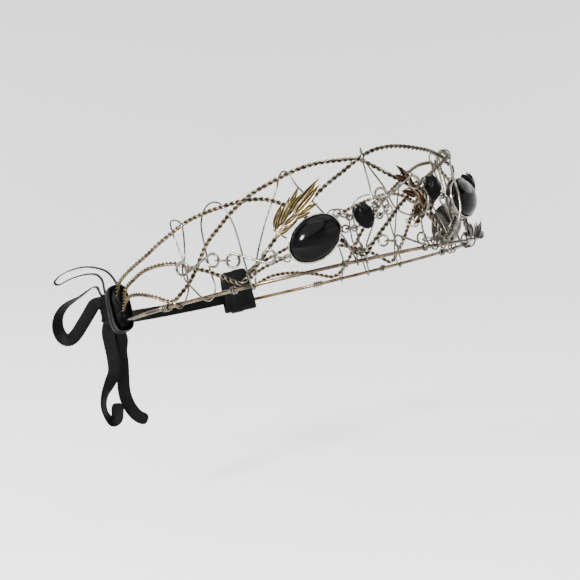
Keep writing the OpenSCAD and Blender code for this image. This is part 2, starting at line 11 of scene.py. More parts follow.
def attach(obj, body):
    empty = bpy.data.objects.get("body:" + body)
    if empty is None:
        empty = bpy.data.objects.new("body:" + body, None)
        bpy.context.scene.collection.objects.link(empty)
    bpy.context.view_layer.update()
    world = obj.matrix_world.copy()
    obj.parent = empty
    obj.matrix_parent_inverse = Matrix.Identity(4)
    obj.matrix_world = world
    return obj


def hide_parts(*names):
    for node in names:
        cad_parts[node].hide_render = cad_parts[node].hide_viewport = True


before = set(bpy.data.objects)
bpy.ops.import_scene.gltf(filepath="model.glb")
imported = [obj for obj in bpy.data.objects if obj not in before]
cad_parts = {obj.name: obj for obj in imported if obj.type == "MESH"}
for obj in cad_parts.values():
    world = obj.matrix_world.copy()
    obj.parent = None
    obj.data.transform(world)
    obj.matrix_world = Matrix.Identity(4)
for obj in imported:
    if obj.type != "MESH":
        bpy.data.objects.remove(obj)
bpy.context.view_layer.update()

mm = 0.001
print("frame loaded")


def spun(degrees, axis):
    return Matrix.Rotation(math.radians(degrees), 4, axis)


def roundAngles(count):
    return [2 * math.pi * k / count for k in range(count)]


def added(name, data):
    made = bpy.data.objects.new(name, data)
    bpy.context.collection.objects.link(made)
    return made


# The ring that everything follows, with the sizes of the part's source
ringShape = {"width": 162, "depth": 188, "wornTilt": 15, "lean": 0.05, "wireEnd": 137, "braidMiddle": -13}
worn = spun(-ringShape["wornTilt"], "X")
right = 1
left = -1
bothSides = {"right": right, "left": left}


# Camera at the photograph's angle
photoView = {"azimuth": 300, "elevation": 5.2, "distance": 725, "lens": 89, "shiftX": -0.0048,
    "shiftY": -0.0105}


def placeCamera(view):
    azimuth = math.radians(view["azimuth"])
    elevation = math.radians(view["elevation"])
    eye = Vector((math.sin(azimuth) * math.cos(elevation), -math.cos(azimuth) * math.cos(elevation),
        math.sin(elevation))) * view["distance"] * mm
    lens = bpy.data.cameras.new("photoCamera")
    lens.lens = view["lens"]
    lens.sensor_width = 36
    lens.shift_x = view["shiftX"]
    lens.shift_y = view["shiftY"]
    lens.clip_start = 0.01
    camera = added("photoCamera", lens)
    camera.location = eye
    camera.rotation_euler = (-eye).to_track_quat("-Z", "Y").to_euler()
    bpy.context.scene.camera = camera


placeCamera(photoView)
print("camera placed")


# Curves and meshes that the pieces share
def ringOutward(angle):
    a = math.radians(angle)
    return Vector((-math.sin(a) / ringShape["width"], -math.cos(a) / ringShape["depth"], 0)).normalized()


def onBand(angle, height, out=0):
    a = math.radians(angle)
    place = Vector((-ringShape["width"] / 2 * math.sin(a), -ringShape["depth"] / 2 * math.cos(a), height))
    return place + (out - ringShape["lean"] * height) * ringOutward(angle)


def leftAngle(angle):
    # The waves are drawn together towards the middle of the braid
    middle = ringShape["braidMiddle"]
    share = (angle - middle) / (ringShape["wireEnd"] - middle)
    return 2 * middle * (1 - share) ** 3 - angle


def sidedAngle(angle, side):
    return angle if side == right else leftAngle(angle)


def atBand(angle, height, out, turn=0, side=right):
    # X forward, Y up and Z outwards, in millimetres, to a place in metres
    n = ringOutward(angle)
    axes = Matrix(((-n.y, 0, n.x, 0), (n.x, 0, n.y, 0), (0, 1, 0, 0), (0, 0, 0, 1)))
    mirror = Matrix.Scale(-1, 4, (1, 0, 0)) if side == left else Matrix.Identity(4)
    return (Matrix.Scale(mm, 4) @ worn @ mirror @ Matrix.Translation(onBand(angle, height, out)) @ axes
        @ spun(turn, "Z"))


def curveThrough(rows, steps):
    # Smooth curve through rows of numbers, with a number of steps between each pair
    last = len(rows) - 1
    points = []
    for i in range(last):
        a, b, c, d = rows[max(i - 1, 0)], rows[i], rows[i + 1], rows[min(i + 2, last)]
        for s in range(steps):
            t = s / steps
            points.append([0.5 * (2 * q + (r - p) * t + (2 * p - 5 * q + 4 * r - w) * t * t
                + (3 * q - p - 3 * r + w) * t ** 3) for p, q, r, w in zip(a, b, c, d)])
    return points + [list(rows[last])]


def evenly(points, step):
    # The same line with its points an even distance apart
    lengths = [0.0]
    for a, b in zip(points, points[1:]):
        lengths.append(lengths[-1] + (b - a).length)
    count = max(2, round(lengths[-1] / step))
    line, i = [], 0
    for k in range(count + 1):
        goal = lengths[-1] * k / count
        while i < len(points) - 2 and lengths[i + 1] < goal:
            i += 1
        span = max(lengths[i + 1] - lengths[i], 1e-9)
        line.append(points[i].lerp(points[i + 1], (goal - lengths[i]) / span))
    return line


def squareTo(vector, tangent):
    return (vector - vector.dot(tangent) * tangent).normalized()


def tangentsOf(points, loop=False):
    n = len(points)
    if loop:
        return [(points[(i + 1) % n] - points[i - 1]).normalized() for i in range(n)]
    return [(points[min(i + 1, n - 1)] - points[max(i - 1, 0)]).normalized() for i in range(n)]


def loftPart(rings, loop=False, shade=None, cloth=None):
    # Closed solid through rings that all have the same number of points
    n = len(rings[0])
    count = len(rings)
    faces = []
    for i in range(count if loop else count - 1):
        a, b = i * n, (i + 1) % count * n
        faces += [(a + j, a + (j + 1) % n, b + (j + 1) % n, b + j) for j in range(n)]
    if not loop:
        faces += [tuple(range(n - 1, -1, -1)), tuple(range((count - 1) * n, count * n))]
    return {"verts": [p for ring in rings for p in ring], "faces": faces, "shade": shade, "cloth": cloth}


# Filed end of a wire. Columns: distance past the end and width there, as shares of the radius
filedEnd = [(0.35, 0.92), (0.7, 0.7), (0.92, 0.35)]


def tubePart(points, radius, sides=12, loop=False, shade=0.5):
    # Round wire along points, with ends filed round
    tangents = tangentsOf(points, loop)
    start = Vector((0, 0, 1)) if abs(tangents[0].z) < 0.9 else Vector((1, 0, 0))
    normals = [squareTo(start, tangents[0])]
    for t in tangents[1:]:
        normals.append(squareTo(normals[-1], t))
    spin = 0
    if loop:
        back = squareTo(normals[-1], tangents[0])
        spin = math.atan2(back.cross(normals[0]).dot(tangents[0]), back.dot(normals[0])) / len(points)
    stations = [(points[i], tangents[i], normals[i], radius, spin * i) for i in range(len(points))]
    if not loop:
        ends = [[(points[i] + way * tangents[i] * radius * past, tangents[i], normals[i], radius * share, 0)
            for past, share in filedEnd] for i, way in ((0, -1), (-1, 1))]
        stations = ends[0][::-1] + stations + ends[1]
    rings = []
    for centre, t, n, r, turn in stations:
        b = t.cross(n)
        rings.append([centre + r * (math.cos(a) * n + math.sin(a) * b)
            for a in (2 * math.pi * j / sides + turn for j in range(sides))])
    return loftPart(rings, loop, [shade] * (len(rings) * sides))


def placed(part, matrix):
    return {**part, "verts": [matrix @ Vector(v) for v in part["verts"]]}


def makePiece(name, parts, material, slot, *nodes):
    # One object of several closed parts, with the attributes that its finish reads
    mesh = bpy.data.meshes.new(name)
    verts, faces, shade, cloth = [], [], [], []
    for part in parts:
        offset = len(verts)
        count = len(part["verts"])
        verts += part["verts"]
        faces += [tuple(i + offset for i in face) for face in part["faces"]]
        shade += part["shade"] or [0.5] * count
        cloth += part["cloth"] or [(0, 0, 0)] * count
    mesh.from_pydata([tuple(v) for v in verts], [], faces)
    mesh.attributes.new("shade", "FLOAT", "POINT").data.foreach_set("value", shade)
    flat = [c for v in cloth for c in v]
    mesh.attributes.new("cloth", "FLOAT_VECTOR", "POINT").data.foreach_set("vector", flat)
    outward = bmesh.new()
    outward.from_mesh(mesh)
    bmesh.ops.recalc_face_normals(outward, faces=outward.faces)
    outward.to_mesh(mesh)
    outward.free()
    mesh.polygons.foreach_set("use_smooth", [True] * len(mesh.polygons))
    mesh.set_sharp_from_angle(angle=math.radians(50))
    mesh.materials.append(material)
    return dress(added(name, mesh), slot, *nodes)


def dress(piece, slot, *nodes):
    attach(piece, "root")
    if nodes:
        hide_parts(*nodes)
    return piece


# Reading a solid: welding distance, likeness of flat faces, steps of the centre line
solidRead = {"weld": 1e-6, "flat": 0.999, "steps": 8}


def wireCentre(node):
    # Centre line of a wire, from the rings of its solid: the first ring is a flat end's outline,
    # and each next one is what the last is joined to
    solid = bmesh.new()
    solid.from_mesh(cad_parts[node].data)
    bmesh.ops.remove_doubles(solid, verts=solid.verts, dist=solidRead["weld"])
    solid.normal_update()
    solid.verts.index_update()
    corner = min(solid.verts, key=lambda v: len(v.link_edges))

    def steepest(face):
        return max(abs(face.normal.dot(other.normal)) for other in corner.link_faces if other != face)

    end = min(corner.link_faces, key=steepest)
    ring, rim = set(end.verts), [end]
    while rim:
        face = rim.pop()
        for edge in face.edges:
            for other in edge.link_faces:
                if other.normal.dot(end.normal) > solidRead["flat"] and not set(other.verts) <= ring:
                    ring |= set(other.verts)
                    rim.append(other)
    seen, centres = set(ring), []
    while ring:
        # In a fixed order, so that each run gives the same sum
        inOrder = sorted(ring, key=lambda v: v.index)
        centres.append(sum((v.co for v in inOrder), Vector()) / len(ring))
        ring = {e.other_vert(v) for v in ring for e in v.link_edges} - seen
        seen |= ring
    solid.free()
    return centres


def wireLine(node, step):
    line = [Vector(p) for p in curveThrough([list(c) for c in wireCentre(node)], solidRead["steps"])]
    return evenly(line, step * mm)


# Finishes
def newMaterial(name):
    material = bpy.data.materials.new(name)
    material.use_nodes = True
    tree = material.node_tree
    return material, tree, tree.nodes["Principled BSDF"]


def noise(tree, size, detail=4, vector=None):
    # Noise whose lumps are about size millimetres
    node = tree.nodes.new("ShaderNodeTexNoise")
    node.inputs["Scale"].default_value = 1 / (size * mm)
    node.inputs["Detail"].default_value = detail
    if vector is None:
        vector = tree.nodes.new("ShaderNodeTexCoord").outputs["Object"]
    tree.links.new(vector, node.inputs["Vector"])
    return node.outputs["Fac"]


def attribute(tree, name, output="Fac"):
    node = tree.nodes.new("ShaderNodeAttribute")
    node.attribute_name = name
    return node.outputs[output]


def ramp(tree, source, stops):
    # Colour or value by source, from (position, colour) stops
    node = tree.nodes.new("ShaderNodeValToRGB")
    points = node.color_ramp.elements
    while len(points) < len(stops):
        points.new(0.5)
    for point, (position, colour) in zip(points, stops):
        point.position = position
        shade = colour if hasattr(colour, "__len__") else (colour, colour, colour)
        point.color = (*shade, 1)
    tree.links.new(source, node.inputs["Fac"])
    return node.outputs["Color"]


def feed(tree, socket, value):
    # Links an output, or sets a colour or a plain value
    if isinstance(value, bpy.types.NodeSocket):
        tree.links.new(value, socket)
    else:
        socket.default_value = (*value, 1) if isinstance(value, tuple) else value


def mixed(tree, share, a, b, blend="MIX"):
    node = tree.nodes.new("ShaderNodeMix")
    node.data_type = "RGBA"
    node.blend_type = blend
    for name, value in (("Factor", share), ("A", a), ("B", b)):
        feed(tree, node.inputs[name], value)
    return node.outputs["Result"]


def mathOf(tree, kind, *values):
    node = tree.nodes.new("ShaderNodeMath")
    node.operation = kind
    for socket, value in zip(node.inputs, values):
        feed(tree, socket, value)
    return node.outputs["Value"]


def split(tree, vector):
    node = tree.nodes.new("ShaderNodeSeparateXYZ")
    tree.links.new(vector, node.inputs["Vector"])
    return node.outputs


def roughen(tree, shader, finish, size, detail=4, vector=None):
    # Roughness in patches of about size millimetres
    patches = noise(tree, size, detail, vector)
    rough = mathOf(tree, "MULTIPLY_ADD", patches, finish["roughSpread"], finish["rough"])
    tree.links.new(rough, shader.inputs["Roughness"])


def bump(tree, shader, height, depth):
    # Raised by up to depth millimetres
    node = tree.nodes.new("ShaderNodeBump")
    node.inputs["Distance"].default_value = depth * mm
    tree.links.new(height, node.inputs["Height"])
    tree.links.new(node.outputs["Normal"], shader.inputs["Normal"])


# How far back a place is, as a share: slope per metre, and the share at the ring's middle
wayBack = {"slope": 6, "middle": 0.5}


def agedMetal(name, finish):
    # Metal in random bright rubbed and dark tarnished patches; the shade attribute adds painted highlights
    # and painted shade
    material, tree, shader = newMaterial(name)
    patches = ramp(tree, noise(tree, finish["patch"]), [(0.34, 0), (0.66, 1)])
    colour = mixed(tree, patches, finish["dull"], finish["bright"])
    if "paintedLight" in finish:
        low, high = finish["paintedLight"]
        # Painted highlight where the shade attribute is high, painted shade in the dark colour where it is
        # low
        paintedLightMask = ramp(tree, attribute(tree, "shade"), [(low, 0), (high, 1)])
        colour = mixed(tree, paintedLightMask, finish["dark"], colour)
    if "frontTint" in finish:
        place = split(tree, tree.nodes.new("ShaderNodeTexCoord").outputs["Object"])
        depth = mathOf(tree, "MULTIPLY_ADD", place["Y"], wayBack["slope"], wayBack["middle"])
        tint = ramp(tree, depth, [(0.1, finish["frontTint"]), (1, finish["backTint"])])
        colour = mixed(tree, 1.0, colour, tint, "MULTIPLY")
    speck = ramp(tree, noise(tree, finish["patch"] / 6, 6), [(0.3, finish["dark"]), (0.52, (1, 1, 1))])
    colour = mixed(tree, finish["specks"], colour, mixed(tree, 1.0, colour, speck, "MULTIPLY"))
    tree.links.new(colour, shader.inputs["Base Color"])
    shader.inputs["Metallic"].default_value = 1
    roughen(tree, shader, finish, finish["patch"] / 3)
    bump(tree, shader, noise(tree, finish["grain"], 3), finish["grainDepth"])
    return material


def polishedStone(name, finish):
    material, tree, shader = newMaterial(name)
    cloudy = ramp(tree, noise(tree, finish["cloud"]), [(0.3, finish["dark"]), (0.7, finish["light"])])
    tree.links.new(cloudy, shader.inputs["Base Color"])
    shader.inputs["IOR"].default_value = finish["ior"]
    roughen(tree, shader, finish, finish["smear"])
    bump(tree, shader, noise(tree, finish["grain"], 3), finish["grainDepth"])
    return material


def satin(name, finish):
    # Warp and weft on the ribbon's own attribute: across it in x, along it in y, in metres
    material, tree, shader = newMaterial(name)
    cloth = attribute(tree, "cloth", "Vector")
    place = split(tree, cloth)
    threads = []
    for axis, pitch in (("X", finish["warpPitch"]), ("Y", finish["weftPitch"])):
        turns = mathOf(tree, "MULTIPLY", place[axis], 2 * math.pi / (pitch * mm))
        threads.append(mathOf(tree, "SINE", turns))
    weave = mathOf(tree, "MULTIPLY_ADD", threads[0], 0.6, mathOf(tree, "MULTIPLY", threads[1], 0.4))
    streaks = ramp(tree, noise(tree, finish["streak"], 5, cloth),
        [(0.35, finish["dark"]), (0.7, finish["light"])])
    tree.links.new(streaks, shader.inputs["Base Color"])
    roughen(tree, shader, finish, finish["wear"], 3, cloth)
    for name, key in (("Sheen Weight", "sheen"), ("Sheen Roughness", "sheenRough"), ("IOR", "ior")):
        shader.inputs[name].default_value = finish[key]
    bump(tree, shader, weave, finish["threadDepth"])
    return material


leafMetal = {"paintedLight": (0.3, 1), "patch": 2.5, "specks": 0.5, "rough": 0.22, "roughSpread": 0.2,
    "grain": 0.3, "grainDepth": 0.05}
finishes = {
    "oldBrassWire": {"dark": (0.007, 0.005, 0.003), "dull": (0.03, 0.023, 0.014),
        "bright": (0.17, 0.14, 0.098), "patch": 9, "specks": 0.55, "rough": 0.1, "roughSpread": 0.16,
        "grain": 0.5, "grainDepth": 0.02, "frontTint": (1, 1, 0.98), "backTint": (1, 0.7, 0.5)},
    "twistedBronze": {"dark": (0.003, 0.002, 0.001), "dull": (0.05, 0.036, 0.02),
        "bright": (0.26, 0.202, 0.127), "paintedLight": (0.44, 0.92), "patch": 5, "specks": 0.5, "rough": 0.14,
        "roughSpread": 0.18, "grain": 0.35, "grainDepth": 0.03, "frontTint": (0.66, 0.74, 0.88),
        "backTint": (1, 0.92, 0.8)},
    "silverWire": {"dark": (0.006, 0.005, 0.004), "dull": (0.028, 0.025, 0.02),
        "bright": (0.155, 0.145, 0.122), "patch": 7, "specks": 0.5, "rough": 0.1, "roughSpread": 0.16,
        "grain": 0.4, "grainDepth": 0.015},
    "bezelSilver": {"dark": (0.007, 0.006, 0.005), "dull": (0.075, 0.07, 0.06),
        "bright": (0.36, 0.345, 0.31), "paintedLight": (0.2, 0.85), "patch": 4, "specks": 0.45, "rough": 0.12,
        "roughSpread": 0.16, "grain": 0.5, "grainDepth": 0.02},
    "chainSilver": {"dark": (0.005, 0.004, 0.003), "dull": (0.032, 0.028, 0.022),
        "bright": (0.215, 0.203, 0.172), "patch": 2.6, "specks": 0.55, "rough": 0.09, "roughSpread": 0.16,
        "grain": 0.4, "grainDepth": 0.03},
    "oliveBrassLeaf": {**leafMetal, "dark": (0.02, 0.0135, 0.0045), "dull": (0.125, 0.09, 0.038),
        "bright": (0.56, 0.475, 0.315), "paintedLight": (0.3, 0.98), "patch": 3, "specks": 0.4, "rough": 0.23},
    "copperLeaf": {**leafMetal, "dark": (0.009, 0.0035, 0.002), "dull": (0.085, 0.036, 0.02),
        "bright": (0.36, 0.24, 0.165), "paintedLight": (0.25, 1)},
    "darkLeaf": {**leafMetal, "dark": (0.004, 0.0025, 0.0015), "dull": (0.02, 0.0115, 0.0075),
        "bright": (0.125, 0.085, 0.058)}}
stoneFinishes = {
    "onyx": {"dark": (0.0005, 0.0005, 0.0006), "light": (0.0016, 0.0016, 0.0018), "cloud": 6, "rough": 0.07,
        "roughSpread": 0.04, "smear": 0.6, "ior": 1.16, "grain": 0.8, "grainDepth": 0.001},
    "carvedOnyx": {"dark": (0.0004, 0.0004, 0.0005), "light": (0.0016, 0.0015, 0.0016), "cloud": 2,
        "rough": 0.18, "roughSpread": 0.14, "smear": 0.6, "ior": 1.12, "grain": 0.35, "grainDepth": 0.03}}
satinFinish = {"dark": (0.0004, 0.0004, 0.0005), "light": (0.0013, 0.0012, 0.0014), "rough": 0.42,
    "roughSpread": 0.2, "wear": 2.5, "streak": 1.5, "sheen": 0.006, "sheenRough": 0.4, "ior": 1.14,
    "warpPitch": 0.16, "weftPitch": 0.24, "threadDepth": 0.012}
metals = {name: agedMetal(name, finish) for name, finish in finishes.items()}
stones = {name: polishedStone(name, finish) for name, finish in stoneFinishes.items()}
blackSatin = satin("blackSatin", satinFinish)
print("finishes made")


# Ribbon: routes are measured from the knot. Columns: across, backwards, upwards, turn of its width
ribbonCut = {"width": 6.5, "thickness": 0.5, "across": 10, "cup": 0.25, "selvedge": 0.08, "steps": 7,
    "tip": 3.2, "knotPlace": (-43.8, 79.8, -14.4), "knotTurn": 30}
tailOuterRoute = [[-0.6, 2.2, -6, 90], [-1, 2.8, -10.6, 90], [-1.4, 1.6, -17, 90], [-1.8, 0.2, -24, 90],
    [-2, -0.2, -30.6, 85], [-2.2, 2, -36.4, 60], [-2.4, 4.6, -42.6, 30], [-2.4, 5.2, -48.6, 20],
    [-2.2, 3.6, -53.4, 20], [-2, 0.8, -56.2, 40], [-1.8, -1.4, -54.6, 70], [-1.6, -1.7, -50.4, 85],
    [-1.6, -1.6, -46.6, 90]]
tailInnerRoute = [[0.6, -1.8, -6, 90], [1, -3, -10.8, 90], [1.4, -3.8, -14.8, 80], [1.8, -3.6, -20.4, 60],
    [2.4, -4.2, -26.8, 60], [2.8, -4.2, -33.4, 70], [3, -4.4, -39.4, 75], [3.2, -5.4, -44.6, 80],
    [3.4, -8, -50.2, 85], [3.6, -11.8, -54.4, 90], [3.6, -16.6, -56.2, 90]]
loopUpperRoute = [[-1, -1.4, 5.6, 0], [-2, -2, 10.8, 0], [-3, -1.6, 15.4, 0], [-4, 2.4, 20.6, 0],
    [-5, 8, 22.8, 0], [-6, 14.2, 23.2, 0], [-7, 20.8, 21.6, 0], [-7.4, 26, 18.8, 0], [-7.2, 28.4, 15.8, 0],
    [-6.4, 26.4, 14.4, 0], [-5.4, 20.8, 17.2, 0], [-4, 14.2, 19.2, 0], [-2.6, 8.4, 19.2, 0],
    [-1.6, 5.4, 16.2, 0], [-1, 4.4, 11.4, 0], [-0.6, 3, 6, 0]]
loopLowerRoute = [[1, 3.4, 4.4, 0], [2, 6.6, 8.6, 0], [3, 8.6, 11.8, 0], [4, 11, 12, 0], [5, 13.8, 10.2, 5],
    [6, 17.8, 7.2, 10], [7, 21.8, 4.8, 20], [8, 26, 1.8, 30], [8.6, 29.2, -2.8, 40],
    [8.6, 30, -8.4, 55], [8, 28, -13.6, 70], [7, 24.4, -15.4, 85], [6, 20.6, -13, 90],
    [5, 15.8, -5.8, 90], [4, 12, 0.4, 90], [3.4, 9.8, 3.4, 90], [2, 5, 4.6, 90]]
atKnot = Matrix.Scale(mm, 4) @ Matrix.Translation(ribbonCut["knotPlace"]) @ spun(ribbonCut["knotTurn"], "Z")


def ribbonSection(centre, wide, thick, along, cup):
    # Outline of the ribbon's cut, with its selvedges, and where each point lies on the cloth
    half = ribbonCut["width"] / 2
    outline, cloth = [], []
    across = ribbonCut["across"]
    for face in (1, -1):
        for j in range(across + 1):
            s = face * (2 * j / across - 1)
            rise = ribbonCut["thickness"] / 2 * (1 - s ** 8) ** 0.5 + 0.03
            rise += ribbonCut["selvedge"] * math.exp(-((abs(s) - 0.9) / 0.06) ** 2)
            outline.append(centre + wide * s * half + thick * (face * rise + cup * (s * s - 0.5)))
            cloth.append((s * half * mm, along * mm, face * mm))
    return outline, cloth


def ribbonPart(points, wides, loop=False, phase=0.0, cupping=1.0, tip=0.0):
    # Strip of ribbon, with its end's corners rounded off over the last tip millimetres
    tangents = tangentsOf(points, loop)
    rings, cloth = [], []
    along, whole = 0.0, lineLength(points)
    for i, (centre, t) in enumerate(zip(points, tangents)):
        if i:
            along += (centre - points[i - 1]).length
        wide = squareTo(wides[i], t)
        cup = cupping * ribbonCut["cup"] * math.sin(along / 7.3 + phase)
        gone = min(1, max(0, whole - along) / tip) if tip else 1
        share = 0.4 + 0.6 * math.sqrt(1 - (1 - gone) ** 2)
        outline, weave = ribbonSection(centre, wide * share, t.cross(wide), along, cup)
        rings.append(outline)
        cloth += weave
    return loftPart(rings, loop, None, cloth)


def ribbonRows(route):
    # Points of a route from the knot, and the direction of the ribbon's width at each
    rows = curveThrough(route, ribbonCut["steps"])
    points = [Vector(row[:3]) for row in rows]
    wides = []
    for row, t in zip(rows, tangentsOf(points)):
        x = squareTo(Vector((1, 0, 0)), t)
        turn = math.radians(row[3])
        wides.append(math.cos(turn) * x + math.sin(turn) * t.cross(x))
    return points, wides


def lineLength(points):
    return sum((b - a).length for a, b in zip(points, points[1:]))


def hangTail(name, node, route, phase):
    points, wides = ribbonRows(route)
    part = ribbonPart(points, wides, phase=phase, tip=ribbonCut["tip"])
    tail = makePiece(name, [placed(part, atKnot)], blackSatin, "black_satin", node)


hangTail("ribbonTailOuter", "ribbon_tail_outer", tailOuterRoute, 0.4)
hangTail("ribbonTailInner", "ribbon_tail_inner", tailInnerRoute, 1.9)


# Studio: a pale floor that sweeps up all round, and soft lights
studio = {"floorHeight": -118, "flatRadius": 1300, "sweep": 1500, "rings": 24, "sides": 96,
    "paper": (0.86, 0.86, 0.85), "sky": (0.1, 0.1, 0.105), "skyStrength": 1.0}
# Lamps. Columns: place and size in metres, watts, colour
lamps = {
    "keyLight": ((-1.5, -0.2, 1.5), (2.4, 2), 46, (1, 0.98, 0.95)),
    "frontLight": ((-0.3, -1.9, 1.1), (2.3, 1.8), 26, (1, 0.97, 0.93)),
    "backLight": ((0.4, 1.8, 1.2), (2, 1.6), 30, (0.95, 0.97, 1)),
    "farLight": ((1.8, -0.5, 1.2), (2, 1.6), 26, (1, 1, 1)),
    "topLight": ((0, 0, 2.1), (2.6, 2.6), 62, (1, 1, 1)),
    "stoneLight": ((-1.15, 0.03, 0.45), (0.19, 0.19), 42, (1, 1, 1))}


def sweptFloor():
    height, flat, sweep = studio["floorHeight"], studio["flatRadius"], studio["sweep"]
    sides = studio["sides"]
    profile = [(flat * k / 6, 0) for k in range(1, 7)]
    for k in range(1, studio["rings"] + 1):
        a = math.pi / 2 * 0.9 * k / studio["rings"]
        profile.append((flat + sweep * math.sin(a), sweep * (1 - math.cos(a))))
    verts, faces = [Vector((0, 0, height * mm))], []
    for radius, rise in profile:
        verts += [Vector((radius * math.cos(a), radius * math.sin(a), height + rise)) * mm
            for a in roundAngles(sides)]
    for j in range(sides):
        faces.append((0, 1 + j, 1 + (j + 1) % sides))
        for i in range(len(profile) - 1):
            a, b = 1 + i * sides, 1 + (i + 1) * sides
            faces.append((a + j, b + j, b + (j + 1) % sides, a + (j + 1) % sides))
    mesh = bpy.data.meshes.new("studioFloor")
    mesh.from_pydata([tuple(v) for v in verts], [], faces)
    mesh.polygons.foreach_set("use_smooth", [True] * len(mesh.polygons))
    paper, tree, shader = newMaterial("studioPaper")
    tint = ramp(tree, noise(tree, 400), [(0, studio["paper"]), (1, [c * 0.98 for c in studio["paper"]])])
    tree.links.new(tint, shader.inputs["Base Color"])
    shader.inputs["Roughness"].default_value = 0.9
    mesh.materials.append(paper)
    floor = added("studioFloor", mesh)


def lightStudio():
    for name, (place, size, watts, colour) in lamps.items():
        light = bpy.data.lights.new(name, "AREA")
        light.shape = "ELLIPSE"
        light.size, light.size_y = size
        light.energy = watts
        light.color = colour
        holder = added(name, light)
        holder.location = place
        holder.visible_camera = False
        holder.rotation_euler = (-Vector(place)).to_track_quat("-Z", "Y").to_euler()
    world = bpy.data.worlds.new("studioSky")
    world.use_nodes = True
    sky = world.node_tree.nodes["Background"]
    sky.inputs["Color"].default_value = (*studio["sky"], 1)
    sky.inputs["Strength"].default_value = studio["skyStrength"]
    bpy.context.scene.world = world


sweptFloor()
lightStudio()
print("studio lit")


# Plain wires
wireSizes = {"base": 0.9, "lacing": 0.42, "front": 0.5, "link": 0.61, "step": 0.5, "sides": 12}


def plainWire(name, node, radius, metal, slot, step=wireSizes["step"]):
    line = wireLine(node, step)
    makePiece(name, [tubePart(line, radius * mm, wireSizes["sides"])], metals[metal], slot, node)


plainWire("baseWire", "base_wire", wireSizes["base"], "oldBrassWire", "old_brass_wire", 0.9)
for sideName in bothSides:
    plainWire("lacingWire." + sideName, "lacing_wire_" + sideName, wireSizes["lacing"], "silverWire",
        "silver_wire")
plainWire("frontWire", "front_wire", wireSizes["front"], "chainSilver", "silver_wire")
print("plain wires drawn")


# Coils of thin wire round the base wire. Columns: first angle, number of turns
coilTurns = [[106, 4], [80.8, 2], [48, 2], [20, 2]]
coilShape = {"pitch": 0.8, "radius": 1.42, "wire": 0.4, "sides": 10, "stepsPerTurn": 28, "shift": 0.4,
    "gap": 0.15, "startTurn": 0.6}


def bindingCoils(name, side, node):
    parts = []
    for first, turns in coilTurns:
        start = sidedAngle(first, side) + side * coilShape["shift"] * coilShape["pitch"]
        steps = round((turns - coilShape["gap"]) * coilShape["stepsPerTurn"])
        line = []
        for k in range(steps + 1):
            turn = k / coilShape["stepsPerTurn"]
            angle = start - turn * coilShape["pitch"]
            n = ringOutward(angle)
            a = 2 * math.pi * turn - coilShape["startTurn"]
            away = math.cos(a) * n + math.sin(a) * Vector((0, 0, 1))
            line.append(worn @ (onBand(angle, 0) + coilShape["radius"] * away) * mm)
        parts.append(tubePart(line, coilShape["wire"] * mm, coilShape["sides"]))
    makePiece(name, parts, metals["silverWire"], "silver_wire", node)


for sideName, side in bothSides.items():
    bindingCoils("bindingCoils." + sideName, side, "binding_coils_" + sideName)
print("binding coils wound")


# Twisted wires: two strands swept along the line of each wire, turned as they go
twistShape = {"Strand Radius": 0.62, "Strand Offset": 0.49, "Turn Length": 5.6, "Step": 0.42, "Sides": 10}


def strandTree():
    tree = bpy.data.node_groups.new("twistedStrands", "GeometryNodeTree")
    for name, kind in (("Geometry", "Geometry"), ("Strand Radius", "Float"), ("Strand Offset", "Float"),
            ("Turn Length", "Float"), ("Step", "Float"), ("Sides", "Int"), ("Metal", "Material")):
        tree.interface.new_socket(name, in_out="INPUT", socket_type="NodeSocket" + kind)
    tree.interface.new_socket("Geometry", in_out="OUTPUT", socket_type="NodeSocketGeometry")

    def node(kind, **links):
        made = tree.nodes.new(kind)
        for key, value in links.items():
            feed(tree, made.inputs[key.replace("_", " ")], value)
        return made

    given = tree.nodes.new("NodeGroupInput").outputs
    line = node("GeometryNodeMeshToCurve", Mesh=given["Geometry"])
    even = tree.nodes.new("GeometryNodeResampleCurve")
    even.mode = "LENGTH"
    feed(tree, even.inputs["Curve"], line.outputs["Curve"])
    feed(tree, even.inputs["Length"], given["Step"])
    along = tree.nodes.new("GeometryNodeSplineParameter").outputs["Length"]
    angle = mathOf(tree, "MULTIPLY", mathOf(tree, "DIVIDE", along, given["Turn Length"]), 2 * math.pi)
    turned = node("GeometryNodeSetCurveTilt", Curve=even.outputs["Curve"], Tilt=angle)
    circle = node("GeometryNodeCurvePrimitiveCircle", Resolution=given["Sides"],
        Radius=given["Strand Radius"])
    pair = tree.nodes.new("GeometryNodeJoinGeometry")
    for way in (1, -1):
        offset = node("ShaderNodeCombineXYZ", X=mathOf(tree, "MULTIPLY", given["Strand Offset"], way))
        moved = node("GeometryNodeTransform", Geometry=circle.outputs["Curve"],
            Translation=offset.outputs["Vector"])
        feed(tree, pair.inputs["Geometry"], moved.outputs["Geometry"])
    distance = tree.nodes.new("ShaderNodeVectorMath")
    distance.operation = "LENGTH"
    feed(tree, distance.inputs[0], tree.nodes.new("GeometryNodeInputPosition").outputs["Position"])
    widest = mathOf(tree, "ADD", given["Strand Radius"], given["Strand Offset"])
    # Shade is the share of the way out from the wire's middle: the finish paints highlights on the strands'
    # crowns and shade in the grooves between them
    outline = node("GeometryNodeStoreNamedAttribute", Geometry=pair.outputs["Geometry"], Name="shade",
        Value=mathOf(tree, "DIVIDE", distance.outputs["Value"], widest))
    swept = node("GeometryNodeCurveToMesh", Curve=turned.outputs["Curve"],
        Profile_Curve=outline.outputs["Geometry"], Fill_Caps=True)
    soft = node("GeometryNodeSetShadeSmooth", Geometry=swept.outputs["Mesh"])
    real = node("GeometryNodeRealizeInstances", Geometry=soft.outputs["Geometry"])
    metal = node("GeometryNodeSetMaterial", Geometry=real.outputs["Geometry"], Material=given["Metal"])
    node("NodeGroupOutput", Geometry=metal.outputs["Geometry"])
    return tree


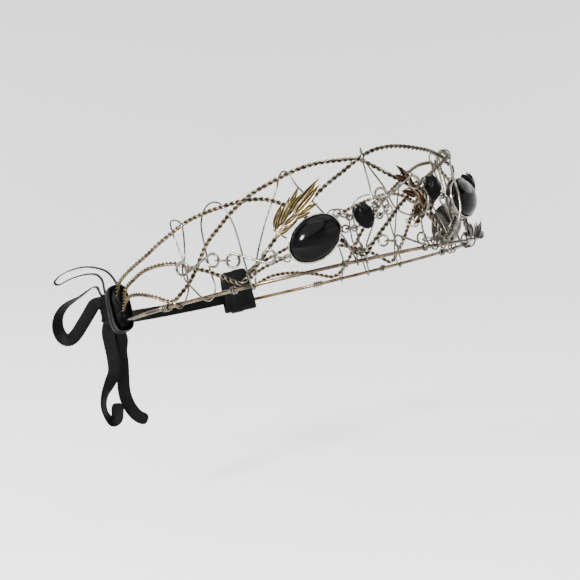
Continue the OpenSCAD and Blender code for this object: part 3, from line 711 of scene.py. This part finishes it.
def grownMesh(name, source, tree, values):
    # The mesh that a node tree makes of source, as a plain object
    modifier = source.modifiers.new("grown", "NODES")
    modifier.node_group = tree
    for item in tree.interface.items_tree:
        if item.in_out == "INPUT" and item.name in values:
            modifier[item.identifier] = values[item.name]
    bpy.context.view_layer.update()
    grown = source.evaluated_get(bpy.context.evaluated_depsgraph_get())
    mesh = bpy.data.meshes.new_from_object(grown)
    mesh.name = name
    bpy.data.objects.remove(source)
    return added(name, mesh)


strands = strandTree()
strandValues = {key: value if key == "Sides" else value * mm for key, value in twistShape.items()}
for number in (1, 2, 3):
    line = wireLine("twisted_wire_%d" % number, 0.8)
    path = bpy.data.meshes.new("wirePath")
    path.from_pydata([tuple(p) for p in line], [(i, i + 1) for i in range(len(line) - 1)], [])
    source = added("wirePath", path)
    wire = grownMesh("twistedWire.%d" % number, source, strands,
        {**strandValues, "Metal": metals["twistedBronze"]})
    dress(wire, "twisted_bronze", "twisted_wire_%d" % number)
print("twisted wires wound")


# Chain: S-links redrawn round and smooth, rings and pins as cast
for part in ("back", "side", "brow"):
    for sideName in bothSides:
        node = "s_link_%s_%s" % (part, sideName)
        line = wireLine(node, 0.3)
        makePiece("sLink.%s.%s" % (part, sideName), [tubePart(line, wireSizes["link"] * mm, 16)],
            metals["chainSilver"], "chain_silver", node)
for sideName in bothSides:
    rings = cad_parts["chain_rings_" + sideName]
    for slot in rings.material_slots:
        slot.material = metals["chainSilver"]
print("chain linked")


# Stones in their bezels. Places: angle, height, turn from level, as in the part's source
outwards = {"bezel": 5.3, "chain": 6.2, "leaf": 3.6}
stoneShape = {"length": 25, "width": 18, "rise": 4.6, "girdle": 2.0, "floor": 0.8, "around": 96, "rings": 26,
    "seat": 0.98}
bezelShape = {"wall": 0.8, "height": 3.0, "around": 96, "loopRadius": 1.6, "loopWire": 0.45,
    "loopAround": 36, "loopSides": 14}
stonePlaces = {"side": (54.4, 13.7, 27), "front": (0, 19.6, 0)}
bezelLoops = {"side": [(-15.1, 1.2), (14.8, 2.4), (13.2, -5.4)], "front": [(-14.7, -2.6), (14.7, -2.6)]}


def ovalRing(grow, height, count, share=1.0):
    # Outline of the stone's girdle moved out by grow, in its own frame
    a, b = stoneShape["length"] / 2 * share, stoneShape["width"] / 2 * share
    ring = []
    for t in roundAngles(count):
        normal = Vector((b * math.cos(t), a * math.sin(t), 0)).normalized()
        ring.append(Vector((a * math.cos(t), b * math.sin(t), height)) + grow * normal)
    return ring


def cabochon(name, matrix, node):
    girdle, rise, seat = stoneShape["girdle"], stoneShape["rise"], stoneShape["seat"]
    levels = [(0.05, 0.5), (0.05, 0.94), (0.12, 0.965), (0.3, 0.975), (girdle * 0.6, seat), (girdle, seat)]
    for k in range(1, stoneShape["rings"]):
        a = math.pi / 2 * k / stoneShape["rings"]
        levels.append((girdle + rise * math.sin(a), seat * math.cos(a)))
    levels.append((girdle + rise, 0.004))
    rings = [ovalRing(0, h, stoneShape["around"], s) for h, s in levels]
    makePiece(name, [placed(loftPart(rings), matrix)], stones["onyx"], "onyx", node)


def bezelParts(loops):
    wall, height, around = bezelShape["wall"], bezelShape["height"], bezelShape["around"]
    floor = stoneShape["floor"]
    # Columns: distance outside the stone's outline, height, shade value: painted highlight on the rim's top,
    # painted shade down the inner wall and on the floor
    profile = [(wall - 0.25, 0, 0.3), (wall - 0.05, 0.06, 0.5), (wall + 0.02, 0.25, 0.6), (wall, 0.7, 0.5),
        (wall - 0.04, height * 0.7, 0.5), (wall - 0.06, height * 0.88, 0.7), (wall * 0.8, height * 0.97, 1),
        (wall * 0.55, height + 0.02, 1), (wall * 0.25, height - 0.02, 1), (0.06, height * 0.94, 0.6),
        (0.05, height * 0.8, 0.1), (0.05, floor + 0.1, 0)]
    base, top = ovalRing(0, 0, around, 0.01), ovalRing(0, floor, around, 0.01)
    rings = [base, ovalRing(0, 0, around, 0.6)] + [ovalRing(d, h, around) for d, h, s in profile]
    rings += [ovalRing(0, floor, around, 0.6), top]
    paintedLight = [0.3, 0.3] + [s for d, h, s in profile] + [0, 0]
    parts = [loftPart(rings, False, [s for s in paintedLight for _ in range(around)])]
    radius, wire = bezelShape["loopRadius"], bezelShape["loopWire"]
    for x, y in loops:
        ring = [Vector((x + radius * math.cos(a), y + radius * math.sin(a), wire))
            for a in roundAngles(bezelShape["loopAround"])]
        parts.append(tubePart(ring, wire, bezelShape["loopSides"], loop=True, shade=0.6))
    return parts


def setStone(kind, side, name, bezelNode, stoneNode):
    angle, height, turn = stonePlaces[kind]
    seat = atBand(angle, height, outwards["bezel"], turn, side)
    parts = [placed(part, seat) for part in bezelParts(bezelLoops[kind])]
    makePiece("bezel." + name, parts, metals["bezelSilver"], "bezel_silver", bezelNode)
    cabochon("cabochon." + name, seat @ Matrix.Translation((0, 0, stoneShape["floor"])), stoneNode)


setStone("side", right, "sideRight", "side_bezel_right", "side_stone_right")
setStone("side", left, "sideLeft", "side_bezel_left", "side_stone_left")
setStone("front", right, "front", "front_bezel", "front_stone")
print("stones set")


# Rose beads: a round bud of carved petals that overlap round a hollow top.
# Places: angle, height, tilt, share of the full width
beadShape = {"width": 9, "height": 11.5, "around": 120, "rise": 40, "cupRows": 12, "step": 1.15,
    "edge": 0.07, "lipLift": 0.22, "lobes": 0.05, "notchTurn": 12, "notchWidth": 22, "notchDepth": 0.2}
beadPlaces = {"side": (39.6, 18.6, 14, 1), "brow": (13.6, 25.9, -6, 0.85)}
# Rows of petals. Columns: turn of the first, half the width of each as an angle, top, depth
petalRows = [(20, 62, 0.72, 0.5), (80, 56, 0.9, 0.42), (-10, 70, 1.05, 0.35)]


def smoothStep(value):
    t = min(max(value, 0), 1)
    return t * t * (3 - 2 * t)


def beadRadius(h):
    # Width of the plain bud at a share of its height
    outline = [(0, 0.14), (0.08, 0.44), (0.25, 0.78), (0.5, 0.97), (0.7, 1), (0.85, 0.93), (0.95, 0.8),
        (1, 0.66)]
    for (a, p), (b, q) in zip(outline, outline[1:]):
        if h <= b:
            return p + (q - p) * smoothStep((h - a) / (b - a)) * 0.5 + (q - p) * (h - a) / (b - a) * 0.5
    return outline[-1][1]


def petalRelief(theta, h):
    # Each petal stands proud of the one that it covers, and ends in a thin curled lip
    depth, lip = 0.0, 0.0
    for first, reach, top, thickness in petalRows:
        for k in range(3):
            away = (theta - first - 120 * k + 180) % 360 - 180
            inside = 1 - (away / reach) ** 2 - ((h - 0.1) / (top - 0.1)) ** 4 * 0.9
            depth += thickness * smoothStep(inside / beadShape["edge"] / 3) / 3
            lip = max(lip, math.exp(-(inside / 0.08) ** 2))
    return depth, lip


def roseBead(name, kind, side, node):
    angle, height, tilt, share = beadPlaces[kind]
    around, rise, cupRows = beadShape["around"], beadShape["rise"], beadShape["cupRows"]
    rings, shade = [], []
    for i in range(rise + cupRows + 1):
        cupped = max(0, i - rise) / cupRows
        h = min(i / rise, 1)
        ring = []
        for j in range(around):
            theta = 360 * j / around
            notch = ((theta + beadShape["notchTurn"]) % 180 - 90) / beadShape["notchWidth"]
            lift = 1 + beadShape["lobes"] * math.cos(math.radians(3 * theta + 60))
            lift -= beadShape["notchDepth"] * math.exp(-notch ** 2)
            depth, lip = petalRelief(theta, h)
            r = beadShape["width"] / 2 * share * beadRadius(h) + (depth - 0.35) * beadShape["step"]
            r += beadShape["lipLift"] * lip * smoothStep((1 - h) * 6)
            y = (h * lift if h > 0.5 else h * (1 + (lift - 1) * smoothStep(h * 2))) - 0.5
            if cupped:
                r *= 1 - cupped * (0.96 + 0.02 * math.cos(math.radians(2 * theta)))
                y -= 0.16 * math.sin(cupped * math.pi / 2) + 0.03 * math.sin(cupped * 9 + math.radians(theta))
            r = max(r, 0.02)
            a = math.radians(theta)
            ring.append(Vector((r * math.cos(a), y * beadShape["height"], r * math.sin(a))))
            shade.append(0.4 + 0.6 * lip)
        rings.append(ring)
    seat = atBand(angle, height, outwards["chain"], tilt, side)
    makePiece(name, [placed(loftPart(rings, False, shade), seat)], stones["carvedOnyx"], "carved_onyx", node)


for kind in ("side", "brow"):
    for sideName, side in bothSides.items():
        roseBead("roseBead.%s.%s" % (kind, sideName), kind, side, "rose_bead_%s_%s" % (kind, sideName))
print("beads carved")


# Leaf sprays. Columns: forward and up to the leaf's root, direction, length, width
sideLeaves = [[-1, 4, 61, 11.5, 2.4], [-0.6, 2.8, 57, 11, 2.4], [0.6, 3.6, 55, 15.5, 2.4],
    [2.2, 4.2, 52, 14, 2.4], [4.6, 6.8, 53, 16, 2.6], [5.8, 7.8, 44, 13, 2.4],
    [8.6, 9, 38, 19.5, 3.2], [9.8, 8, 35, 17, 2.8], [9.4, 8.2, 24, 11, 2.2], [10.2, 7.4, 17, 11, 2.4],
    [8, 6, 8, 9, 2.4], [4, 4.2, 24, 8.5, 2.2], [1.6, 1.8, 19, 9.5, 2.6], [0.2, 0.8, 16, 7, 2.2]]
browLeaves = [[0, 3, 124, 11, 3.2], [-2, 6, 132, 13, 3.4], [-4, 9, 112, 11, 3.2], [-5, 10, 142, 10, 3],
    [-2.4, 6, 108, 9, 3], [-3, 5, 160, 9, 2.8], [-6, 13, 124, 9, 3]]
frontLeaves = [[-8, 1, 158, 8, 3], [-6, 2, 132, 10, 3.4], [-3, 1, 112, 8, 3.4], [0, 1, 92, 7, 3.6],
    [3, 1, 70, 8, 3.4], [6, 2, 50, 10, 3.4], [8, 1, 22, 8, 3], [-3, 1, 146, 11, 3], [3, 1, 36, 11, 3]]
# Each spray: root (angle, height), lean, stem's two ends, tie (forward, up, outside, radius, direction)
sideSpray = {"lean": 0, "leaves": sideLeaves, "stem": [(-0.5, 0.2), (12, 9.6)],
    "tie": (0.4, 0.9, 1.1, 3.4, 130), "metal": "oliveBrassLeaf", "slot": "olive_brass_leaf"}
browSpray = {"side": right, "leaves": browLeaves, "stem": [(0, 0), (-6, 13)], "metal": "copperLeaf",
    "slot": "copper_leaf"}
sprays = {
    "sideRight": {**sideSpray, "node": "leaf_spray_side_right", "side": right, "root": (64, 18.5)},
    "sideLeft": {**sideSpray, "node": "leaf_spray_side_left", "side": left,
        "root": (-leftAngle(64), 18.5)},
    "browRight": {**browSpray, "node": "leaf_spray_brow_right", "root": (18.2, 18.6), "lean": -2,
        "tie": (-2.7, 5.6, 0.6, 4.2, 118)},
    "browLeft": {**browSpray, "node": "leaf_spray_brow_left", "root": (-29.2, 13), "lean": -3,
        "tie": (-2.7, 5.6, 1.4, 3.4, 175)},
    "front": {"node": "leaf_spray_front", "side": right, "root": (-5, -0.5), "lean": 14,
        "leaves": frontLeaves, "stem": [(-9, 0.6), (9, 0.6)], "tie": (0, 0.6, 1.8, 3.4, 90),
        "metal": "darkLeaf", "slot": "dark_leaf"}}
leafShape = {"along": 30, "thickness": 0.34, "ribHeight": 0.3, "ribWidth": 0.13, "veins": 7,
    "veinHeight": 0.07, "fold": 0.3, "layer": 0.3, "layers": 4, "widen": 1.3, "stemRadius": 0.55,
    "stemLift": 0.4, "stemSteps": 12, "tieWire": 0.4, "tieAround": 40, "tieRise": 0.5}
leafAcross = [-1, -0.86, -0.64, -0.42, -0.22, -0.1, 0, 0.1, 0.22, 0.42, 0.64, 0.86, 1]


def leafPart(length, width, bend, arch, turn):
    # Lance-shaped leaf along X with a raised midrib, side veins and lifted edges
    rings, shade = [], []
    along = leafShape["along"]
    for i in range(along + 1):
        u = i / along
        half = width / 2 * max(0.04, math.sin(math.pi * min(1, u ** 0.8)) ** 0.75 * (1 - 0.25 * u))
        centre = Vector((length * u, bend * u * u, arch * math.sin(math.pi * u * 0.8) + 0.15))
        roll = math.radians(turn * (0.4 + 0.6 * u))
        top, bottom, topShade = [], [], []
        for s in leafAcross:
            rib = math.exp(-(s / leafShape["ribWidth"]) ** 2) * (1 - 0.7 * u)
            vein = max(0, math.cos(2 * math.pi * (u * leafShape["veins"] - abs(s) * 0.9))) ** 6
            vein *= min(1, abs(s) * 4) * (1 - s * s) * math.sin(math.pi * u)
            rise = leafShape["fold"] * abs(s) ** 1.4 * half + leafShape["ribHeight"] * rib
            rise += leafShape["veinHeight"] * vein
            y, c, d = s * half, math.cos(roll), math.sin(roll)
            flat = Vector((0, y * c - rise * d, y * d + rise * c))
            under = leafShape["thickness"] * (1 - 0.75 * s * s) * (1 - 0.5 * u)
            top.append(centre + flat)
            bottom.append(centre + flat - Vector((0, 0, under + 0.04)))
            # Painted highlight on the midrib, the edges and the veins; the rest of the top and the underside
            # take the finish's dark colour
            paintedHighlight = max(rib, 0.85 * smoothStep((abs(s) - 0.72) / 0.25), 0.45 * vein)
            topShade.append(0.12 + 0.88 * paintedHighlight)
        rings.append(top + bottom[::-1])
        shade += topShade + [0.2] * len(bottom)
    return loftPart(rings, False, shade)


def leafSpray(name, spray):
    draw = random.Random(len(name) * 7 + 3)
    seat = atBand(*spray["root"], outwards["leaf"], 0, spray["side"])
    lean = seat @ spun(spray["lean"], "X")
    parts = []
    for i, (x, y, direction, length, width) in enumerate(spray["leaves"]):
        bend, arch, turn = draw.uniform(-0.5, 0.5), draw.uniform(0.2, 0.6), draw.uniform(-22, 22)
        leaf = leafPart(length, width * leafShape["widen"], bend, arch, turn)
        layer = leafShape["layer"] * (i % leafShape["layers"])
        parts.append(placed(leaf, lean @ (Matrix.Translation((x, y, layer)) @ spun(direction, "Z"))))
    a, b = (Vector((*end, leafShape["stemLift"])) for end in spray["stem"])
    steps = leafShape["stemSteps"]
    stem = [a.lerp(b, k / steps) for k in range(steps + 1)]
    parts.append(placed(tubePart(stem, leafShape["stemRadius"]), lean))
    x, y, out, radius, direction = spray["tie"]
    tie = seat @ Matrix.Translation((x, y, out - outwards["leaf"])) @ spun(direction, "Z") @ spun(90, "X")
    turns = [Vector((radius * math.cos(t), radius * math.sin(t), leafShape["tieRise"] * math.sin(t / 2) ** 2))
        for t in roundAngles(leafShape["tieAround"])]
    parts.append(placed(tubePart(turns, leafShape["tieWire"], 10, loop=True, shade=0.8), tie))
    makePiece("leafSpray." + name, parts, metals[spray["metal"]], spray["slot"], spray["node"])


for name, spray in sprays.items():
    leafSpray(name, spray)
print("leaves laid")


# Tied ribbon: turns round the wires' ends, the stretch round the back, the knot and the bow
wrapShape = {"angle": 137.2, "height": 6.6, "inside": (4.2, 10.6), "power": 0.6, "around": 72}
# Turns of the wrap. Columns: place along the wires, lean of the turn, how far outside the folds' size
wrapTurns = [(-4.6, 5, 0.35), (-1.4, -6, 0.7), (1.9, 7, 0.4), (4.5, -4, 0.75), (0.4, 12, 1.15)]
# Ribbon drawn in round the wires inside the turns. Columns: place along the wires, share of the full size
wrapFolds = [(-7.6, 0.12), (-7.3, 0.5), (-6.7, 0.8), (-5.4, 0.95), (0, 0.97), (5.4, 0.95), (6.7, 0.8),
    (7.3, 0.5), (7.6, 0.12)]
bandShape = {"from": 149.5, "to": 218.5, "step": 1.5, "height": 4, "out": 1.5}
# Turns of the knot. Columns: middle, half its width and height, tip, turn
knotTurns = [((0, 1, 4.6), (4.6, 5.4), 64, 10), ((0, 0.4, 0), (4.7, 5.2), 82, -24),
    ((0, 0.2, -4.6), (4.4, 5.2), 70, 28), ((0.4, 0.8, 1), (5.2, 6), 20, 60)]
knotCore = {"centre": (0, 1, 0), "size": (4.9, 5.2, 9.8), "rings": 20, "around": 40, "turnAround": 56}
# Ribbon from the right wrap into the knot. Ways: height at the wrap, height at the knot, lean
joinShape = {"ways": [(2, 2.6, 9), (-4.2, -2, -9)], "reach": (3, 8), "into": (0.5, 0.6), "slack": 0.4,
    "steps": 6}


def evenlyRound(points, count):
    closed = points + [points[0]]
    return evenly(closed, lineLength(closed) / count)[:-1][:count]


def wrapOutline(t):
    # Up and outwards on the rounded box that the wrap follows, as shares of its size
    return [math.copysign(abs(v) ** wrapShape["power"], v) for v in (math.sin(t), math.cos(t))]


def ribbonWrap(name, side, node):
    seat = atBand(wrapShape["angle"], wrapShape["height"], 0, 0, side)
    deep, high = wrapShape["inside"]
    around = roundAngles(wrapShape["around"])
    folds = []
    for x, share in wrapFolds:
        ring = []
        for t in around:
            up, outside = wrapOutline(t)
            pleat = share * (1 + 0.05 * math.sin(7 * t + x))
            ring.append(Vector((x + 0.5 * math.sin(5 * t) * (1 - share), high * pleat * up,
                deep * pleat * outside)))
        folds.append(ring)
    parts = [placed(loftPart(folds), seat)]
    for along, lean, out in wrapTurns:
        points = []
        for t in around:
            up, outside = wrapOutline(t)
            up *= high + out
            points.append(Vector((along + up * math.tan(math.radians(lean)), up, (deep + out) * outside)))
        turn = ribbonPart(evenlyRound(points, len(around)), [Vector((1, 0, 0))] * len(around), loop=True,
            cupping=0)
        parts.append(placed(turn, seat))
    makePiece(name, parts, blackSatin, "black_satin", node)


def ribbonBack():
    steps = round((bandShape["to"] - bandShape["from"]) / bandShape["step"])
    points = [onBand(bandShape["from"] + bandShape["step"] * k, bandShape["height"], bandShape["out"])
        for k in range(steps + 1)]
    wides = [Vector((0, 0, 1))] * len(points)
    part = placed(ribbonPart(points, wides, phase=0.8), Matrix.Scale(mm, 4) @ worn)
    makePiece("ribbonBand", [part], blackSatin, "black_satin", "ribbon_band")


def ribbonJoin():
    # The ribbon's way from the right wrap into the knot
    n = ringOutward(wrapShape["angle"])
    middle = onBand(wrapShape["angle"], wrapShape["height"])
    parts = []
    for low, high, lean in joinShape["ways"]:
        start, leave = (worn @ (middle + Vector((n.y, -n.x, 0)) * reach + Vector((0, 0, low)))
            for reach in joinShape["reach"])
        end = Vector(ribbonCut["knotPlace"]) + Vector((*joinShape["into"], high))
        rows = [list(start), list(leave), list(leave.lerp(end, 0.5) + joinShape["slack"] * n), list(end)]
        points = [Vector(row) for row in curveThrough(rows, joinShape["steps"])]
        wides = [Vector((math.sin(math.radians(lean)), 0, math.cos(math.radians(lean))))] * len(points)
        parts.append(placed(ribbonPart(points, wides), Matrix.Scale(mm, 4)))
    makePiece("ribbonJoin", parts, blackSatin, "black_satin")


def ribbonKnot():
    x, y, z = knotCore["size"]
    rings = []
    for i in range(knotCore["rings"] + 1):
        a = math.pi * (i + 0.15) / (knotCore["rings"] + 0.3)
        ring = []
        for t in roundAngles(knotCore["around"]):
            fold = 1 + 0.05 * math.sin(5 * t + 3 * a)
            ring.append(Vector((x * fold * math.sin(a) * math.cos(t), y * fold * math.sin(a) * math.sin(t),
                z * math.cos(a))) + Vector(knotCore["centre"]))
        rings.append(ring)
    parts = [placed(loftPart(rings), atKnot)]
    for middle, size, tip, turn in knotTurns:
        pose = Matrix.Translation(middle) @ spun(turn, "X") @ spun(90 - tip, "Y")
        points = [Vector((size[0] * math.cos(t), size[1] * math.sin(t), 0.5 * math.sin(2 * t)))
            for t in roundAngles(knotCore["turnAround"])]
        wides = [Vector((0, 0, 1))] * len(points)
        parts.append(placed(ribbonPart(points, wides, loop=True, cupping=0), atKnot @ pose))
    makePiece("ribbonKnot", parts, blackSatin, "black_satin", "ribbon_knot")


def bowLoop(name, node, route, phase):
    points, wides = ribbonRows(route)
    loop = placed(ribbonPart(points, wides, phase=phase), atKnot)
    makePiece(name, [loop], blackSatin, "black_satin", node)


for sideName, side in bothSides.items():
    ribbonWrap("ribbonWrap." + sideName, side, "ribbon_wrap_" + sideName)
ribbonBack()
ribbonJoin()
ribbonKnot()
bowLoop("ribbonLoopUpper", "ribbon_loop_upper", loopUpperRoute, 0.3)
bowLoop("ribbonLoopLower", "ribbon_loop_lower", loopLowerRoute, 2.1)
print("ribbon tied")
